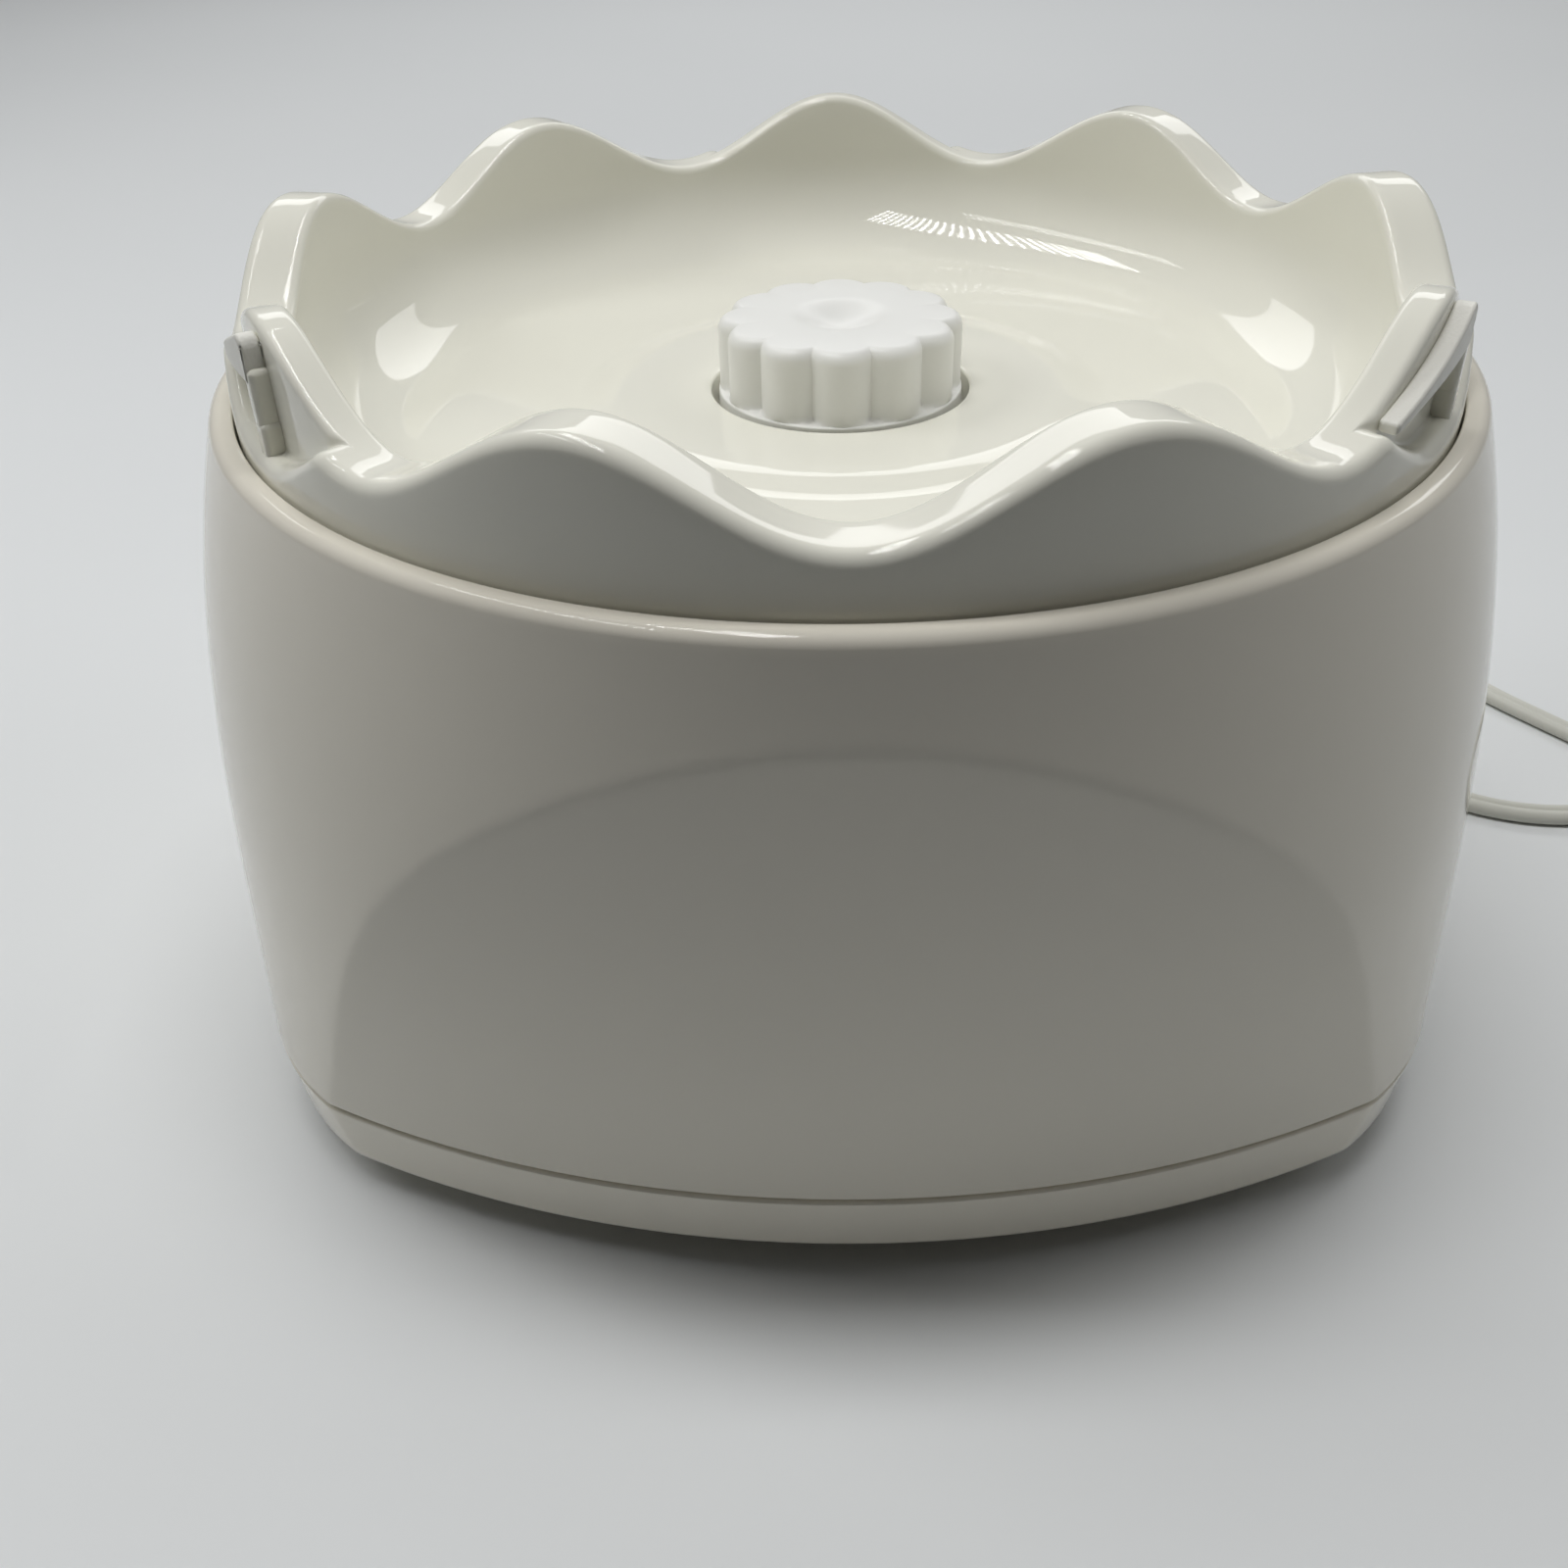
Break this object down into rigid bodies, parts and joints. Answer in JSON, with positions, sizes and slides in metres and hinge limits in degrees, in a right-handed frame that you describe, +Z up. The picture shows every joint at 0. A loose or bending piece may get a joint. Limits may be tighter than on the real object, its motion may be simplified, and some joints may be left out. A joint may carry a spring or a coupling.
{
  "type": "frozen-dessert maker motor base",
  "caption": "White barrel-shaped motor base with a round bowl tray, scalloped rim with lid lugs, central fluted drive coupling, rear switch knob and mains cord.",
  "frame": {"origin": "on the table under the axis of the drive coupling, at the middle of the base", "axes": "+Z up along the coupling axis, -Y the plain front of the base, +X to the right of a viewer at the front"},
  "size_m": [0.2826, 0.3078, 0.1355],
  "materials": {
    "casing_gloss": "gloss",
    "tray_gloss": "gloss",
    "coupling_nylon": "satin",
    "gear_nylon": "satin",
    "steel": "satin",
    "bronze": "satin",
    "rubber_dark": "matte",
    "rubber_foot": "matte",
    "gearbox_plastic": "satin",
    "lamination_steel": "satin",
    "bobbin_plastic": "satin",
    "winding_tape": "satin",
    "fan_plastic": "satin",
    "switch_plastic": "satin",
    "cord_white": "satin",
    "tie_plastic": "satin",
    "steel_brass": "polished"
  },
  "bodies": {
    "base": {"body_shell": "casing_gloss", "bottom_cover": "casing_gloss", "bowl_tray": "tray_gloss", "coil_bobbin": "bobbin_plastic", "coil_winding": "winding_tape", "cord_coil": "cord_white", "cord_lead": "cord_white", "cord_tie": "tie_plastic", "cover_screws": "steel", "first_pin": "steel", "foot_front_left": "rubber_foot", "foot_front_right": "rubber_foot", "foot_rear_left": "rubber_foot", "foot_rear_right": "rubber_foot", "gearbox_housing": "gearbox_plastic", "gearbox_plate": "gearbox_plastic", "gearbox_screws": "steel", "lower_bush": "bronze", "lower_motor_bracket": "steel", "lower_motor_bush": "bronze", "motor_screws": "steel", "plug_blades": "steel_brass", "plug_body": "cord_white", "second_pin": "steel", "shaft_seal": "rubber_dark", "stator_stack": "lamination_steel", "strain_relief": "cord_white", "switch_body": "switch_plastic", "switch_nut": "steel", "tray_screws": "steel", "upper_bush": "bronze", "upper_motor_bracket": "steel", "upper_motor_bush": "bronze"},
    "drive": {"drive_coupling": "coupling_nylon", "output_shaft": "steel", "shaft_circlip": "steel", "output_gear": "gear_nylon"},
    "second_gear": {"second_gear": "gear_nylon"},
    "first_gear": {"first_gear": "gear_nylon"},
    "rotor": {"rotor_core": "lamination_steel", "motor_shaft": "steel", "motor_pinion": "steel", "cooling_fan": "fan_plastic"},
    "switch": {"switch_knob": "casing_gloss", "switch_spindle": "steel"}
  },
  "joints": [
    {"name": "rotor_spin", "type": "hinge", "parent": "base", "child": "rotor", "pos_m": [0.02819, -0.00156, 0.0493], "axis": [0, 0, 1], "continuous": true},
    {"name": "first_gear_spin", "type": "hinge", "parent": "base", "child": "first_gear", "pos_m": [0.02819, 0.02724, 0.0743], "axis": [0, 0, 1], "continuous": true},
    {"name": "second_gear_spin", "type": "hinge", "parent": "base", "child": "second_gear", "pos_m": [0, 0.0375, 0.0803], "axis": [0, 0, 1], "continuous": true},
    {"name": "drive_spin", "type": "hinge", "parent": "base", "child": "drive", "pos_m": [0, 0, 0.0943], "axis": [0, 0, 1], "continuous": true},
    {"name": "switch_turn", "type": "hinge", "parent": "base", "child": "switch", "pos_m": [0, 0.09, 0.046], "axis": [0, 1, 0], "range_deg": [0, 90]}
  ],
  "couplings": [
    {"joint": "first_gear_spin", "follows": "rotor_spin", "ratio": -0.2},
    {"joint": "second_gear_spin", "follows": "rotor_spin", "ratio": 0.05},
    {"joint": "drive_spin", "follows": "rotor_spin", "ratio": -0.0125}
  ]
}
